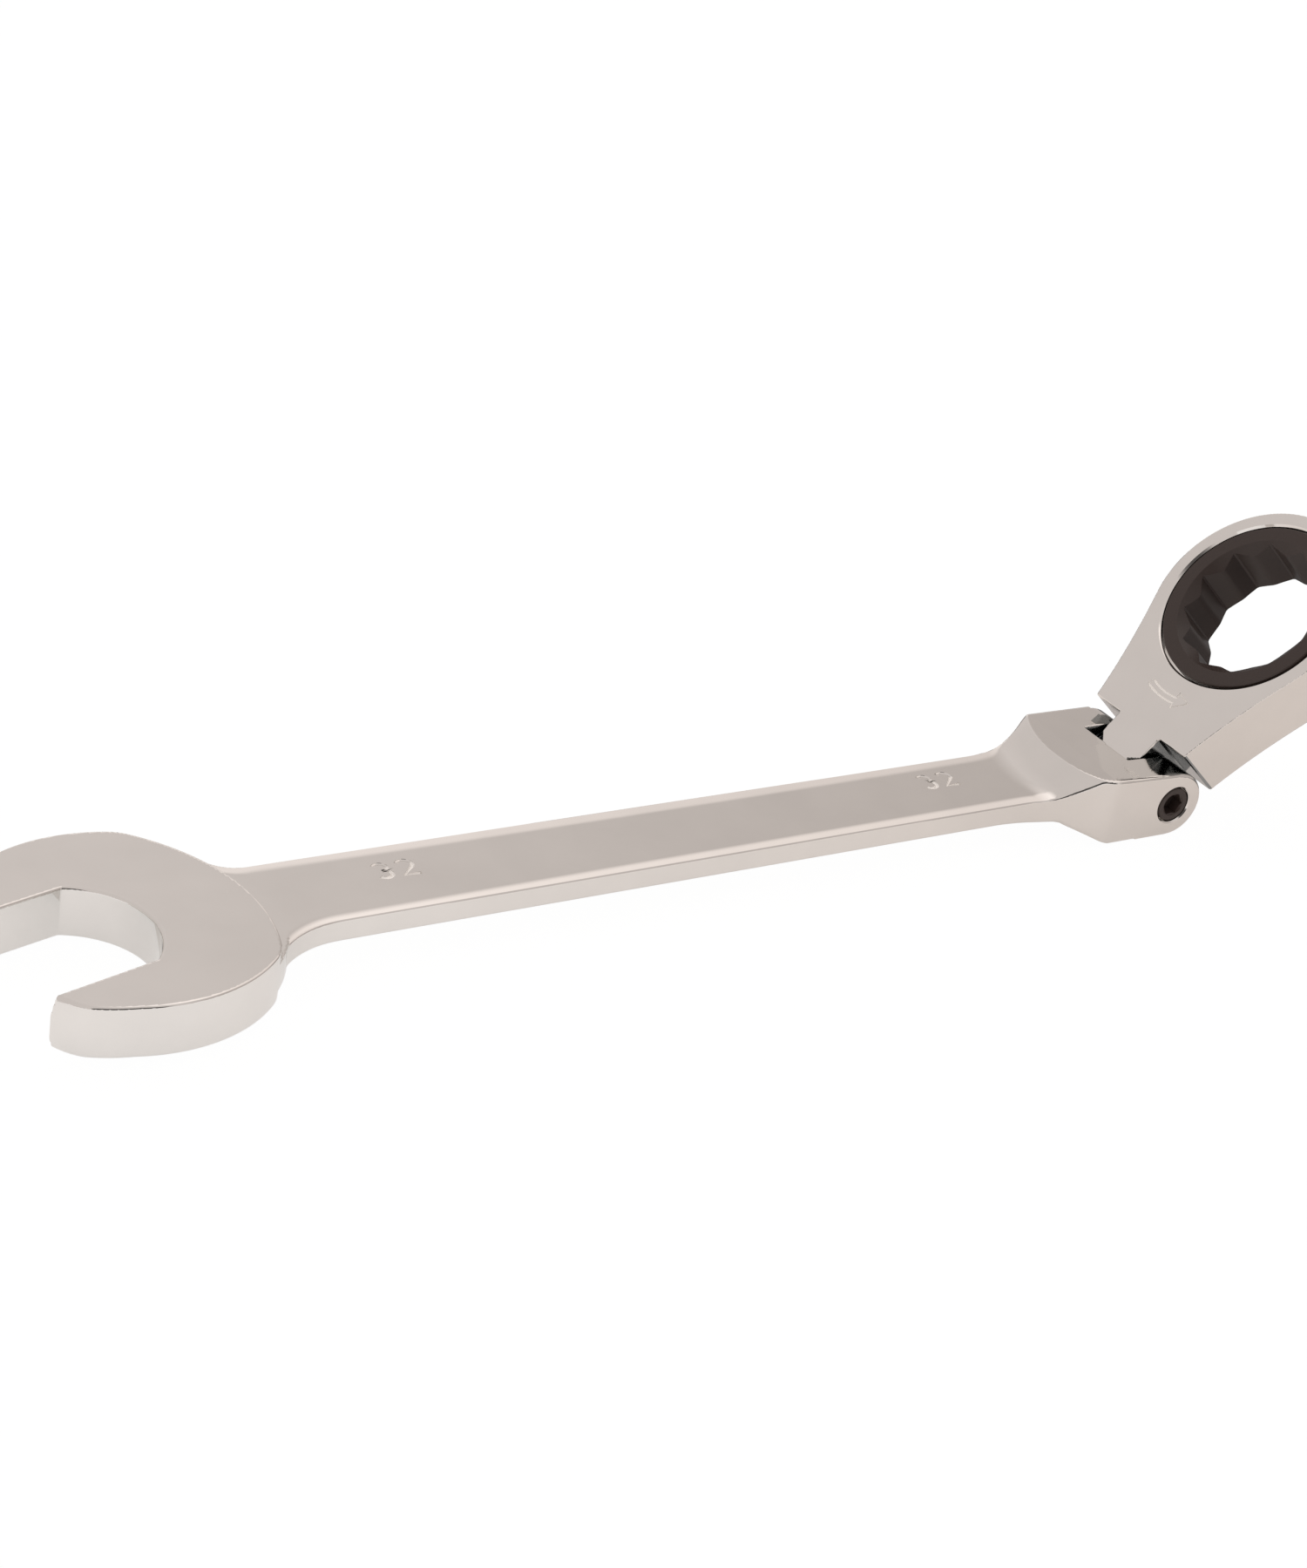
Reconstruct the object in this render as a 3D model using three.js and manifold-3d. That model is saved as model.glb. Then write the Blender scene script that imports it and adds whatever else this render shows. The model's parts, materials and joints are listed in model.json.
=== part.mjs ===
// Flex-head ratcheting combination wrench, size 32: an open jaw on one end of a forged
// handle and a flexing ratchet head on the other. Millimetres, +Z up, +X towards the ratchet.
import * as THREE from 'three';
import { mergeVertices } from 'three/addons/utils/BufferGeometryUtils.js';
import Module from 'manifold-3d';

const wasm = await Module();
wasm.setup();

// ---- driving dimensions -------------------------------------------------------------------
const GAP = 0.3;                  // clearance kept between neighbouring pieces
const ACROSS_FLATS = 32.2;        // size 32 with its clearance

const JAW_REACH = 267;            // pivot pin to jaw centre, along X
const JAW_DROP = 1.2;             // jaw centre lies this far towards -Y
const JAW_ANGLE = 15;             // degrees that the opening is turned towards -Y
const JAW_RADIUS = 34;
const JAW_EDGE = 0.7;             // rounded edges of the jaw
const JAW_THICKNESS = 11.9;
const JAW_TIP = 28.5;             // jaw centre to the tips, along the opening
const OPENING_SHIFT = 1.1;        // opening axis beside the jaw centre, towards -Y
const THROAT_RADIUS = 19.5;
const THROAT_CENTRE = 14.8;       // along the opening
const STEP_RADIUS = 48;           // back edge of the thick jaw, over the shank
const STEP_X = -238;
const STEP_DROP = 4.8;             // step centre beside the jaw centre, towards -Y

const SHANK_TOP = 3.75;
const SHANK_BOTTOM = -3.3;
const SHANK_HALF_AT_JAW = 12.6;
const SHANK_HALF_AT_CLEVIS = 11.9;
const TOP_BEVEL = [1.5, 0.4];     // width and depth along the shank's top edges
const BOTTOM_BEVEL = [3.2, 1.7];
const NEAR_FILLET = 22;           // plan fillet from shank to jaw on the -Y side
const FAR_FILLET = 9;
const NEAR_FILLET_START = -222.6;
const FAR_FILLET_START = -233;

const CLEVIS_HALF = 18.5;
const CLEVIS_FLARE = 48;          // plan radius of the flare
const CLEVIS_FLARE_START = -45;
const CLEVIS_SHOULDER_TOP = 9.3;  // highest point, where the ramp ends
const CLEVIS_SHOULDER_X = -22;
const EAR_RADIUS = 8.4;
const PAST_EARS = 19;              // beyond the outer faces of both ears
const SLOT_HALF = 8.6;
const SLOT_ROOT = -9;

const TONGUE_HALF = 7.6;
const HEAD_HALF = 8.35;           // half the thickness of the ratchet head
const SHOULDER_X = 9.7;
const SHOULDER_HALF = 17.2;
const RING_CENTRE = 50;
const RING_RADIUS = 27.7;
const RING_JOIN = 107;             // degrees from the tip of the ring to where the neck joins it
const NECK_CONTROL = [24, 19.6];   // control point of the neck's hollow side
const HEAD_FLEX = 47.4;           // degrees that the head is raised at rest

const TEETH = 72;
const TOOTH_TIP = 22.7;
const TOOTH_ROOT = 21.8;
const FLANGE_RADIUS = 23.5;
const FLANGE_UNDER = 6.4;         // underside of the gear flange
const BOSS_RADIUS = 20.6;
const TEETH_BOTTOM = -4.2;
const LEAD_IN = [16.6, 19.4, 1.6];   // inner radius, outer radius and depth of the lead-in
const GROOVE_RADIUS = 19.6;
const GROOVE_TOP = -6.4;
const GROOVE_BOTTOM = -7.9;
const LIP_RADIUS = BOSS_RADIUS + GAP;
const LIP_TOP = TEETH_BOTTOM - GAP;
const LIP_BOTTOM = -6.1;
const CLIP_BORE = 23.2;           // counterbore that hides the retaining ring
const SEAT_RADIUS = 23.1;         // bore around the teeth

const PAWL_HALF = 6.6;
const PAWL_BACK = 19.4;
const PAWL_TOP = 4.2;
const PAWL_BOTTOM = -3.6;
const POCKET_BACK = 17.4;
const SPRING_HOLE = 2.3;
const SPRING_END = 12.6;
const SPRING_RADIUS = 1.55;
const SPRING_WIRE = 0.3;
const SPRING_TURNS = 6;
const SPRING_HEIGHT = 0.3;         // spring axis above the middle of the head
const CLIP_RADIUS = 22.6;
const CLIP_OPENING = 2.5;          // half the gap between the ends of the retaining ring

const SCREW_HEAD = 4.6;
const SCREW_SHAFT = 3.3;
const SCREW_FACE = -18.3;
const SCREW_SEAT = -13.6;
const SOCKET_FLATS = 5;
const SOCKET_DEPTH = 3.2;
const SHAFT_END = 16;
const WASHER_RADIUS = 6.9;
const WASHER_THICKNESS = 0.4;

// ---- geometry helpers ---------------------------------------------------------------------
const radians = THREE.MathUtils.degToRad;

function solid(geometry) {
  const plain = geometry.clone();
  plain.deleteAttribute('normal');
  plain.deleteAttribute('uv');
  const merged = mergeVertices(plain, 1e-4);
  const mesh = new wasm.Mesh({
    numProp: 3,
    vertProperties: Float32Array.from(merged.attributes.position.array),
    triVerts: Uint32Array.from(merged.index.array),
  });
  return new wasm.Manifold(mesh);
}

function surface(manifold) {
  const mesh = manifold.getMesh();
  const geometry = new THREE.BufferGeometry();
  geometry.setAttribute('position', new THREE.BufferAttribute(mesh.vertProperties, 3));
  geometry.setIndex(new THREE.BufferAttribute(mesh.triVerts, 1));
  geometry.computeVertexNormals();
  return geometry;
}

function shapeOf(points) {
  return new THREE.Shape(points.map(([x, y]) => new THREE.Vector2(x, y)));
}

// A plan outline raised from one height to another, with an optional bevel on both faces.
function prism(shape, low, high, bevel = 0, bevelDepth = 0, curveSegments = 24) {
  const geometry = new THREE.ExtrudeGeometry(shape, {
    depth: high - low - 2 * bevelDepth,
    bevelEnabled: bevel > 0,
    bevelSize: bevel,
    bevelOffset: -bevel,
    bevelThickness: bevelDepth,
    bevelSegments: 1,
    curveSegments,
  });
  return solid(geometry.translate(0, 0, low + bevelDepth));
}

// A cylinder along Z.
function disc(radius, low, high, sides = 72) {
  const geometry = new THREE.CylinderGeometry(radius, radius, high - low, sides);
  return solid(geometry.rotateX(Math.PI / 2).translate(0, 0, (low + high) / 2));
}

// A cone along Z, from its lower to its upper radius.
function cone(lowRadius, highRadius, low, high) {
  const geometry = new THREE.CylinderGeometry(highRadius, lowRadius, high - low, 72);
  return solid(geometry.rotateX(Math.PI / 2).translate(0, 0, (low + high) / 2));
}

// A cylinder along Y, through the pivot.
function pinned(radius, low, high, sides = 36) {
  const geometry = new THREE.CylinderGeometry(radius, radius, high - low, sides);
  return solid(geometry.translate(0, (low + high) / 2, 0));
}

function block(minimum, maximum) {
  const size = maximum.map((value, axis) => value - minimum[axis]);
  const centre = maximum.map((value, axis) => (value + minimum[axis]) / 2);
  return solid(new THREE.BoxGeometry(...size).translate(...centre));
}

function arc(centreX, centreY, radius, from, to, steps) {
  return Array.from({ length: steps + 1 }, (_, step) => {
    const angle = radians(from + ((to - from) * step) / steps);
    return [centreX + radius * Math.cos(angle), centreY + radius * Math.sin(angle)];
  });
}

// ---- handle: jaw, shank and clevis forged in one ------------------------------------------
// The jaw's own frame has X along the opening and Y towards the near side of the wrench.
function jawShape() {
  const half = ACROSS_FLATS / 2;
  const nearFlat = OPENING_SHIFT + half;
  const farFlat = OPENING_SHIFT - half;
  const throatHalf = THREE.MathUtils.radToDeg(Math.asin(half / THROAT_RADIUS));
  const outline = new THREE.Shape();
  outline.moveTo(JAW_TIP, nearFlat);
  outline.lineTo(JAW_TIP, nearFlat + 2);
  outline.quadraticCurveTo(JAW_TIP, nearFlat + 5.4, JAW_TIP - 4, nearFlat + 8);
  for (const [x, y] of arc(0, 0, JAW_RADIUS, 65, 295, 60)) outline.lineTo(x, y);
  outline.lineTo(JAW_TIP - 4, farFlat - 10.2);
  outline.quadraticCurveTo(JAW_TIP, farFlat - 7.6, JAW_TIP, farFlat - 4);
  outline.lineTo(JAW_TIP, farFlat);
  const throat = arc(THROAT_CENTRE, OPENING_SHIFT, THROAT_RADIUS,
    180 + throatHalf, 180 - throatHalf, 20);
  for (const [x, y] of throat) outline.lineTo(x, y);
  return outline;
}

function makeJaw() {
  const half = JAW_THICKNESS / 2;
  const fullJaw = prism(jawShape(), -half, half, JAW_EDGE, JAW_EDGE, 8)
    .rotate([0, 0, 180 + JAW_ANGLE])
    .translate([-JAW_REACH, -JAW_DROP, 0]);
  const back = disc(STEP_RADIUS, -half - 1, half + 1, 144)
    .translate([STEP_X - STEP_RADIUS, -JAW_DROP - STEP_DROP, 0]);
  return fullJaw.intersect(back);
}

// Plan of the shank, from inside the jaw to inside the clevis.
function shankShape() {
  const near = arc(NEAR_FILLET_START, -SHANK_HALF_AT_JAW - NEAR_FILLET, NEAR_FILLET, 143, 90, 7);
  const far = arc(FAR_FILLET_START, SHANK_HALF_AT_JAW + FAR_FILLET, FAR_FILLET, 270, 215, 6);
  const flareNear = arc(CLEVIS_FLARE_START, -SHANK_HALF_AT_CLEVIS - CLEVIS_FLARE,
    CLEVIS_FLARE, 90, 68, 6);
  const flareFar = flareNear.map(([x, y]) => [x, -y]).reverse();
  const clevisEnd = [[-12, -15], [-12, 15]];
  const jawEnd = [[-243, 19.5], [-256, 14], [-256, -14], [-244, -23]];
  return shapeOf([...near, ...flareNear, ...clevisEnd, ...flareFar, ...far, ...jawEnd]);
}

// The shank has its own bevels above and below, and a web as thick as itself round the jaw's back.
function makeShank() {
  const upper = prism(shankShape(), SHANK_BOTTOM - 3, SHANK_TOP, ...TOP_BEVEL);
  const lower = prism(shankShape(), SHANK_BOTTOM, SHANK_TOP + 3, ...BOTTOM_BEVEL);
  const neck = disc(JAW_RADIUS - 1, SHANK_BOTTOM, SHANK_TOP).translate([-JAW_REACH, -JAW_DROP, 0])
    .intersect(block([-250, -22, -12], [-200, 15, 12]));
  return upper.intersect(lower).add(neck);
}

function makeClevis() {
  const flareEnd = 90 - THREE.MathUtils.radToDeg(
    Math.acos(1 - (CLEVIS_HALF - SHANK_HALF_AT_CLEVIS) / CLEVIS_FLARE));
  const flareNear = arc(CLEVIS_FLARE_START, -SHANK_HALF_AT_CLEVIS - CLEVIS_FLARE,
    CLEVIS_FLARE, 90, flareEnd, 12);
  const nearSide = [...flareNear, [EAR_RADIUS + 1, -CLEVIS_HALF]];
  const farSide = nearSide.map(([x, y]) => [x, -y]).reverse();
  const plan = prism(shapeOf([...nearSide, ...farSide]), -10, 10);

  // Side view: up the ramp, along the shoulder, round the ears and back up the underside.
  const side = new THREE.Shape();
  side.moveTo(CLEVIS_FLARE_START, SHANK_TOP - 0.6);
  side.lineTo(-36, SHANK_TOP - 0.1);
  side.bezierCurveTo(-29.5, SHANK_TOP + 0.4, -26.5, CLEVIS_SHOULDER_TOP - 0.3,
    CLEVIS_SHOULDER_X, CLEVIS_SHOULDER_TOP);
  side.lineTo(0, EAR_RADIUS);
  side.absarc(0, 0, EAR_RADIUS, Math.PI / 2, -Math.PI / 2, true);
  side.lineTo(-19, -EAR_RADIUS + 0.1);
  side.quadraticCurveTo(-21.5, -EAR_RADIUS + 0.1, -23.5, -7);
  side.lineTo(-33, -1.9);
  side.lineTo(CLEVIS_FLARE_START, -1.8);
  const profile = prism(side, -20, 20).rotate([90, 0, 0]);

  const slot = block([SLOT_ROOT, -SLOT_HALF, -12], [12, SLOT_HALF, 12]);
  const shaftHole = pinned(SCREW_SHAFT + GAP, -PAST_EARS, PAST_EARS);
  const headHole = pinned(SCREW_HEAD + GAP, -PAST_EARS, SCREW_SEAT);
  const nutHole = pinned(SCREW_HEAD + GAP, -SCREW_SEAT, PAST_EARS);
  return plan.intersect(profile).subtract(slot)
    .subtract(shaftHole).subtract(headHole).subtract(nutHole);
}

function makeHandle() {
  return makeJaw().add(makeShank()).add(makeClevis());
}

// ---- pivot screw, nut and washers ---------------------------------------------------------
function makeScrew() {
  const socketRadius = SOCKET_FLATS / Math.sqrt(3);
  return pinned(SCREW_HEAD, SCREW_FACE, SCREW_SEAT - GAP)
    .add(pinned(SCREW_SHAFT, SCREW_SEAT - GAP - 0.5, SHAFT_END))
    .subtract(pinned(socketRadius, SCREW_FACE - 1, SCREW_FACE + SOCKET_DEPTH, 6));
}

function makeNut() {
  return pinned(SCREW_HEAD, -SCREW_SEAT + GAP, -SCREW_FACE)
    .subtract(pinned(SCREW_SHAFT + GAP, 0, SHAFT_END + GAP));
}

function makeWasher(side) {
  const inner = side * (TONGUE_HALF + GAP);
  const outer = side * (TONGUE_HALF + GAP + WASHER_THICKNESS);
  const low = Math.min(inner, outer);
  const high = Math.max(inner, outer);
  return pinned(WASHER_RADIUS, low, high).subtract(pinned(SCREW_SHAFT + GAP, low - 1, high + 1));
}

// ---- ratchet head, in its own frame: X along the head, Z through the ring -----------------
function headShape() {
  const shape = new THREE.Shape();
  const joinAngle = radians(RING_JOIN);
  const [controlX, controlY] = NECK_CONTROL;
  const joinX = RING_CENTRE + RING_RADIUS * Math.cos(joinAngle);
  const joinY = RING_RADIUS * Math.sin(joinAngle);
  shape.moveTo(SHOULDER_X, -SHOULDER_HALF);
  shape.quadraticCurveTo(controlX, -controlY, joinX, -joinY);
  shape.absarc(RING_CENTRE, 0, RING_RADIUS, -joinAngle, joinAngle, false);
  shape.quadraticCurveTo(controlX, controlY, SHOULDER_X, SHOULDER_HALF);
  return shape;
}

function makeTongue() {
  const bar = block([0, -TONGUE_HALF, -HEAD_HALF], [SHOULDER_X + 4, TONGUE_HALF, HEAD_HALF]);
  return bar.add(pinned(HEAD_HALF, -TONGUE_HALF, TONGUE_HALF, 72));
}

function makeHead() {
  const ring = (radius, low, high) => disc(radius, low, high).translate([RING_CENTRE, 0, 0]);
  const body = prism(headShape(), -HEAD_HALF, HEAD_HALF, 0.4, 0.4, 32);
  const pocket = block([POCKET_BACK, -PAWL_HALF - GAP, PAWL_BOTTOM - GAP],
    [RING_CENTRE - 20, PAWL_HALF + GAP, PAWL_TOP + GAP]);
  const springHole = solid(new THREE.CylinderGeometry(SPRING_HOLE, SPRING_HOLE, 8, 24)
    .rotateZ(Math.PI / 2).translate(SPRING_END + 4, 0, SPRING_HEIGHT));
  return body.add(makeTongue())
    .subtract(ring(FLANGE_RADIUS + GAP, FLANGE_UNDER - GAP, 10))
    .subtract(cone(FLANGE_RADIUS + GAP, FLANGE_RADIUS + GAP + 0.6, HEAD_HALF - 0.5, HEAD_HALF + 0.1)
      .translate([RING_CENTRE, 0, 0]))
    .subtract(ring(SEAT_RADIUS, LIP_TOP, 10))
    .subtract(ring(LIP_RADIUS, -10, 10))
    .subtract(ring(CLIP_BORE, -10, LIP_BOTTOM))
    .subtract(pocket)
    .subtract(springHole)
    .subtract(pinned(SCREW_SHAFT + GAP, -10, 10));
}

function star() {
  const tip = ACROSS_FLATS / 2 / Math.cos(Math.PI / 6);
  const valley = ACROSS_FLATS / 2 / Math.cos(Math.PI / 12);
  return shapeOf(Array.from({ length: 24 }, (_, index) => {
    const radius = index % 2 ? valley : tip;
    const angle = (index * Math.PI) / 12;
    return [radius * Math.cos(angle), radius * Math.sin(angle)];
  }));
}

function toothedShape() {
  const pitch = (2 * Math.PI) / TEETH;
  const points = [];
  for (let tooth = 0; tooth < TEETH; tooth += 1) {
    const start = (tooth - 0.5) * pitch;
    for (const [share, radius] of [[0, TOOTH_ROOT], [0.4, TOOTH_TIP], [0.6, TOOTH_TIP]]) {
      const angle = start + share * pitch;
      points.push([radius * Math.cos(angle), radius * Math.sin(angle)]);
    }
  }
  return shapeOf(points);
}

function makeGear() {
  const [leadInner, leadOuter, leadDepth] = LEAD_IN;
  const groove = disc(BOSS_RADIUS + 1, GROOVE_BOTTOM, GROOVE_TOP)
    .subtract(disc(GROOVE_RADIUS, GROOVE_BOTTOM - 1, GROOVE_TOP + 1));
  return prism(toothedShape(), TEETH_BOTTOM, FLANGE_UNDER + 0.2)
    .add(disc(FLANGE_RADIUS, FLANGE_UNDER, HEAD_HALF))
    .add(disc(BOSS_RADIUS, -HEAD_HALF, TEETH_BOTTOM + 0.5))
    .subtract(groove)
    .subtract(prism(star(), -12, 12))
    .subtract(cone(leadInner, leadOuter, HEAD_HALF - leadDepth, HEAD_HALF));
}

function makeRetainingRing() {
  const low = GROOVE_BOTTOM + GAP;
  const high = GROOVE_TOP - GAP;
  const opening = block([15, -CLIP_OPENING, -12], [30, CLIP_OPENING, 0]);
  return disc(CLIP_RADIUS, low, high).subtract(disc(GROOVE_RADIUS + GAP, low - 1, high + 1))
    .subtract(opening);
}

// The pawl's front is cut to the gear's own teeth, one clearance away.
function makePawl() {
  const body = block([PAWL_BACK, -PAWL_HALF, PAWL_BOTTOM],
    [RING_CENTRE - TOOTH_ROOT + 1.3, PAWL_HALF, PAWL_TOP]);
  const scale = (TOOTH_TIP + GAP) / TOOTH_TIP;
  const teeth = prism(toothedShape(), -12, 12).scale([scale, scale, 1])
    .translate([RING_CENTRE, 0, 0]);
  const rim = disc(TOOTH_ROOT + 0.45, -12, 12).translate([RING_CENTRE, 0, 0]);
  return body.subtract(teeth).subtract(rim);
}

class Helix extends THREE.Curve {
  getPoint(share) {
    const angle = share * SPRING_TURNS * 2 * Math.PI;
    const length = PAWL_BACK - SPRING_END - 2 * (GAP + SPRING_WIRE);
    return new THREE.Vector3(SPRING_END + GAP + SPRING_WIRE + share * length,
      SPRING_RADIUS * Math.cos(angle), SPRING_RADIUS * Math.sin(angle) + SPRING_HEIGHT);
  }
}

function makeSpring() {
  const section = shapeOf(arc(0, 0, SPRING_WIRE, 0, 315, 7));
  return solid(new THREE.ExtrudeGeometry(section, {
    extrudePath: new Helix(), steps: SPRING_TURNS * 14, bevelEnabled: false,
  }));
}

// ---- assembly -----------------------------------------------------------------------------
const chrome = { color: 0xc9c2bb, roughness: 0.12, metalness: 1 };
const blackened = { color: 0x2b2522, roughness: 0.4, metalness: 0.8 };
const darkSteel = { color: 0x3a3431, roughness: 0.45, metalness: 0.9 };
const springSteel = { color: 0x8f8d8a, roughness: 0.35, metalness: 1 };

function piece(name, manifold, finish) {
  const mesh = new THREE.Mesh(surface(manifold), new THREE.MeshStandardMaterial(finish));
  mesh.name = name;
  return mesh;
}

const wrench = new THREE.Group();
wrench.add(
  piece('handle', makeHandle(), chrome),
  piece('pivot_screw', makeScrew(), blackened),
  piece('pivot_nut', makeNut(), blackened),
  piece('friction_washer_near', makeWasher(-1), springSteel),
  piece('friction_washer_far', makeWasher(1), springSteel),
);

const head = new THREE.Group();
head.rotation.y = -radians(HEAD_FLEX);
head.add(
  piece('ratchet_head', makeHead(), chrome),
  piece('pawl', makePawl(), darkSteel),
  piece('pawl_spring', makeSpring(), springSteel),
);

const gear = new THREE.Group();
gear.position.x = RING_CENTRE;
gear.add(
  piece('drive_gear', makeGear(), darkSteel),
  piece('retaining_ring', makeRetainingRing(), springSteel),
);
head.add(gear);
wrench.add(head);

// The part's origin is the centre of its footprint, on the surface that it lies on.
wrench.updateMatrixWorld(true);
const extent = new THREE.Box3().setFromObject(wrench, true);
const centre = extent.getCenter(new THREE.Vector3());
wrench.position.set(-centre.x, -centre.y, -extent.min.z);

export default wrench;
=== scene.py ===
"""Looks of the flex-head ratcheting combination wrench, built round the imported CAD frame.

The handle and the head are written as distance formulas in millimetres (negative inside), meshed
on a grid and pulled onto the formula, so that flats stay flat and every edge has its radius.
Handle coordinates x, y, z start at the middle of the pivot pin: x runs from the jaw to the
clevis, y to the far side and z up. Head coordinates u, v, h start there too and turn with the
head, with u running along the tongue to the ring. Ring coordinates start at the ring's centre.
"""

import json
import math

import bmesh
import bpy
import numpy as np
from mathutils import Euler, Matrix, Vector


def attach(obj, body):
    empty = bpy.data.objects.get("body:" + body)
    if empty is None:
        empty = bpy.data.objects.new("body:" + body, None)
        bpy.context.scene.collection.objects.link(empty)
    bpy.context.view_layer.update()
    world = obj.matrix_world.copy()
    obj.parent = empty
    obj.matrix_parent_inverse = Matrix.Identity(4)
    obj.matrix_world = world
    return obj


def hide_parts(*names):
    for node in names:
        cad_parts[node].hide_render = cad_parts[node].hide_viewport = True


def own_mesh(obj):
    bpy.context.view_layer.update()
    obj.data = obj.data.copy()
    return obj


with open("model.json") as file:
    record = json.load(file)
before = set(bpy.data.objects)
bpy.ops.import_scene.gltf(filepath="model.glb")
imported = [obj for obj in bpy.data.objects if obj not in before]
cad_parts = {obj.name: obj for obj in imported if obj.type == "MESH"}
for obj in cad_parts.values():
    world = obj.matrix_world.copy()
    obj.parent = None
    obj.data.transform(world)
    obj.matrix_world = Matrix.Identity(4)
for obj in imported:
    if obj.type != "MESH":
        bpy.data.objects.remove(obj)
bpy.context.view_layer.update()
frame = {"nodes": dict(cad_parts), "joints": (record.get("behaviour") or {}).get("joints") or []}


# ---- sizes in millimetres -----------------------------------------------------------------

ACROSS_FLATS = 32.2              # of the jaw's throat and of the ring's bore

JAW_CENTRE = (-267.0, -1.2)
JAW_TURN = math.radians(195)     # the way that the throat opens
JAW_RADIUS = 34.0
JAW_TOP = 5.95
TIP_CENTRE = 4                   # centre of the tips' rounding, along the throat
TIP_RADIUS = 32.15
TIP_END = 28.5
TIP_CORNER = 4.5
SIDE_BULGE, END_BULGE = 0.3, 1.8
BULGE_MIDDLE, BULGE_HALF = -1, 6.5
THROAT_OFFSET = 1.1              # the throat's centre line, beside the jaw's
THROAT_CENTRE = 14.8             # centre of the throat's round end, along the throat
THROAT_RADIUS = 19.5
STEP_CENTRE = (-286, -6)         # the arc where the jaw's plate steps down to the shank
STEP_RADIUS = 48
WEB_SIDE, WEB_START = -3, -252   # the web shows on the near side only

SHANK_TOP, SHANK_BOTTOM = 3.75, -3.3
SHANK_HALF = 12.6                # half the shank's width at the jaw
SHANK_TAPER = 0.7
TAPER_START, TAPER_END = -222.6, -45
FAR_EXTRA = 0.5                  # the far side stands out a little more
NEAR_FILLET, FAR_FILLET = -222.6, -233
SHANK_START = -256
UNDER_BEVEL = (3.2, 1.7)         # width and depth of the bevels along the shank
FAR_BEVEL = (1.9, 0.26)
NEAR_BEVEL = (1.6, 0.42)
CLEVIS_BEVEL = 0.35

FLARE_START, FLARE_RADIUS, FLARE_REACH = -43, 42, 23
FLARE_LIMIT = 20.5
EAR_SIDE = 18.5
EAR_RADIUS = 8.4                 # round the pin
EAR_TOP = 9.25
FAR_FALL, NEAR_FALL = 0.02, 0.041   # slope of the ears' tops towards the pin
FALL_START = -20
CREST_CENTRE = (9, -2.5)         # the ramp's crest is an arc round this point
CREST_RADIUS = 36
CREST_SAG, SAG_START = 0.022, -10
RAMP_LENGTH, RAMP_RADIUS, RAMP_REACH = 12, 16, 12.1
KEEL_SLOPE, KEEL_START = 0.42, -30.8   # the underside falls to the ears' bottom
SLOT_HALF, SLOT_END = 8.6, -9

HEAD_HALF = 8.35                 # half the head's thickness
RING_CENTRE = 50.0
RING_RADIUS = 27.7
SHOULDER = (9.7, 17.2)           # the neck's curve: its start, control point and end
NECK_CONTROL = (24.0, 19.9)
RING_JOIN = (40.4, 25.98)
TONGUE_HALF = 7.6
CORNER_START = 6                 # the tongue's corners are cut off this far from the pin

PIN_BORE = 3.6
SCREW_SHAFT, SCREW_HEAD = 3.3, 4.45
SCREW_SEAT, SCREW_FACE = 13.9, 18.3
SHAFT_END = 16
SOCKET_RADIUS = 2.9

SEAT_RADIUS = 23.1               # bore round the gear's teeth
BOSS_RADIUS = 20.6
FLANGE_RADIUS, FLANGE_UNDER = 23.3, 6.4
GROOVE_RADIUS = 19.6             # the retaining ring's groove in the gear
GROOVE_TOP, GROOVE_BOTTOM = -6.4, -7.9
TOOTH_COUNT, TOOTH_ROOT, TOOTH_TIP = 72, 21.8, 22.7
CLIP_RADIUS, CLIP_BORE, CLIP_OPENING = 22.6, 19.9, 2.5

SPRING_START, SPRING_LENGTH, SPRING_TURNS = 13.2, 5.6, 7
SPRING_RADIUS, SPRING_WIRE, SPRING_HEIGHT = 1.55, 0.27, 0.3

STAMP_DEPTH = 0.02               # faces at least this far below a top belong to a stamp
STAMP_PLACES = ((-207.9, -0.2), (-62.4, 0.4))   # lower left corners of the stamped sizes
DIGIT_PITCH, DIGIT_WIDTH = 5.7, 4

CAMERA_PLACE = (-471.253, -466.979, 314.713)
CAMERA_TURN = (62.1593, -8.3497, -30.8080)      # degrees about X, Y and Z
CAMERA_LENS, CAMERA_SENSOR = 66.61, 36
FLOOR_HALF = 8                   # metres

# Frames in metres, for shapes made in millimetres.
MM = 0.001
BEND = math.radians(47.4)        # how far the head leans up from the handle
JOINTS = {joint["name"]: joint for joint in frame["joints"]}
PIVOT = Vector(JOINTS["head_flex"]["pos_m"])
HANDLE_FRAME = Matrix.Translation(PIVOT) @ Matrix.Scale(MM, 4)
HEAD_FRAME = Matrix.Translation(PIVOT) @ Matrix.Rotation(-BEND, 4, "Y") @ Matrix.Scale(MM, 4)
RING_FRAME = HEAD_FRAME @ Matrix.Translation((RING_CENTRE, 0, 0))


# ---- distance formulas --------------------------------------------------------------------

def both(a, b, radius):
    """Inside a and b, with their common edge rounded."""
    return np.minimum(np.maximum(a, b), -radius) + np.hypot(
        np.maximum(a + radius, 0), np.maximum(b + radius, 0))


def either(a, b, radius):
    """Inside a or b, with a fillet where they meet."""
    return -both(-a, -b, radius)


def lower(a, b, blend):
    """The lower of two heights, blended where they cross."""
    share = np.maximum(blend - np.abs(a - b), 0) / blend
    return np.minimum(a, b) - share * share * blend / 4


def ease(value, start, end):
    """Goes smoothly from 0 at the start to 1 at the end."""
    share = np.clip((value - start) / (end - start), 0, 1)
    return share * share * (3 - 2 * share)


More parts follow.
